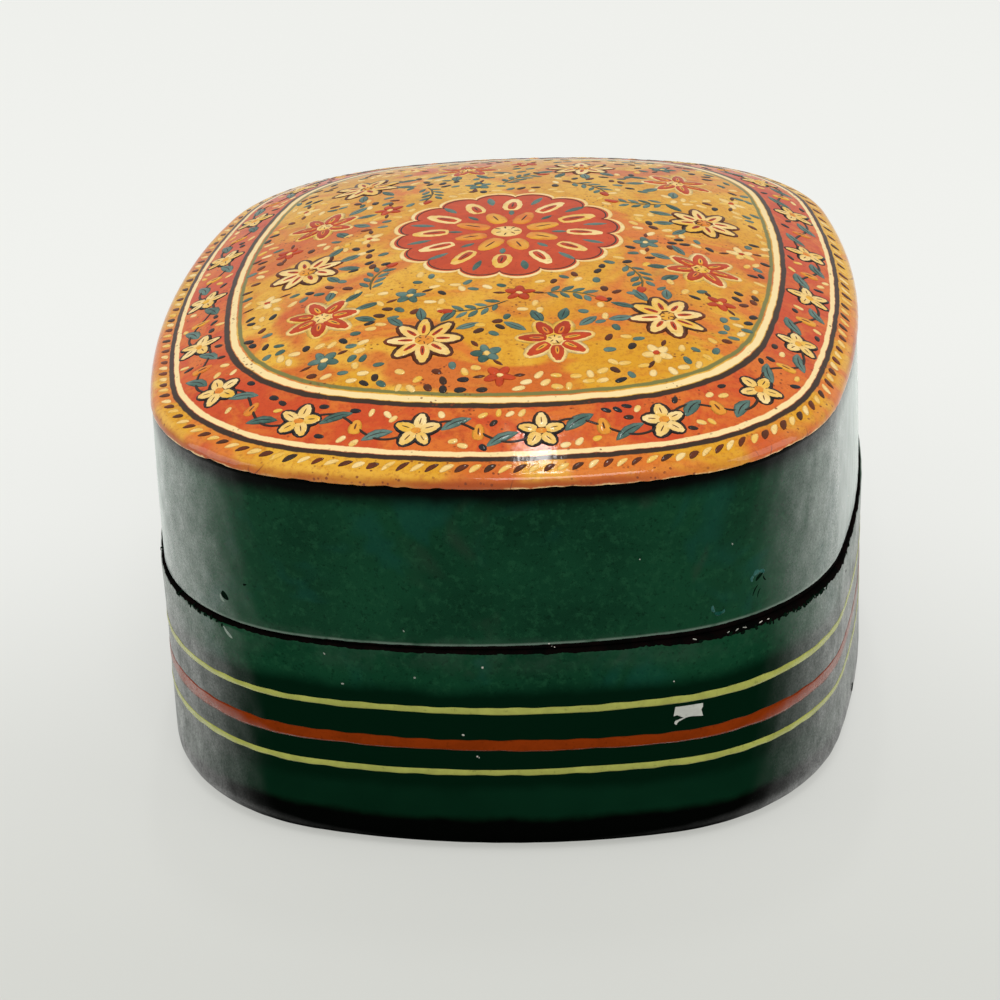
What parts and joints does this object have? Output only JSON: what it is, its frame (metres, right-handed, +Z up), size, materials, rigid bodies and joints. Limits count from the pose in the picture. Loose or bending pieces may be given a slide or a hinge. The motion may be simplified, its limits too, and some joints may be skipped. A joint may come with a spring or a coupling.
{
  "type": "papier-mache trinket box",
  "caption": "Small lacquered papier-mache box with bowed sides, a collar inside the base and a domed lift-off lid.",
  "frame": {"origin": "middle of the flat underside of the base", "axes": "+Z up, the way the lid lifts; +Y along the box's longer side; -Y is the short side that faces the viewer"},
  "size_m": [0.076, 0.09, 0.0492],
  "materials": {
    "green_lacquered_pulp": "gloss",
    "black_lacquered_card": "gloss",
    "painted_paper": "gloss"
  },
  "bodies": {
    "base": {"base_shell": "green_lacquered_pulp", "base_collar": "black_lacquered_card"},
    "lid": {"lid_shell": "green_lacquered_pulp", "lid_painted_skin": "painted_paper"}
  },
  "joints": [
    {"name": "lid_lift", "type": "slide", "parent": "base", "child": "lid", "axis": [0, 0, 1], "range_m": [0, 0.06]}
  ]
}
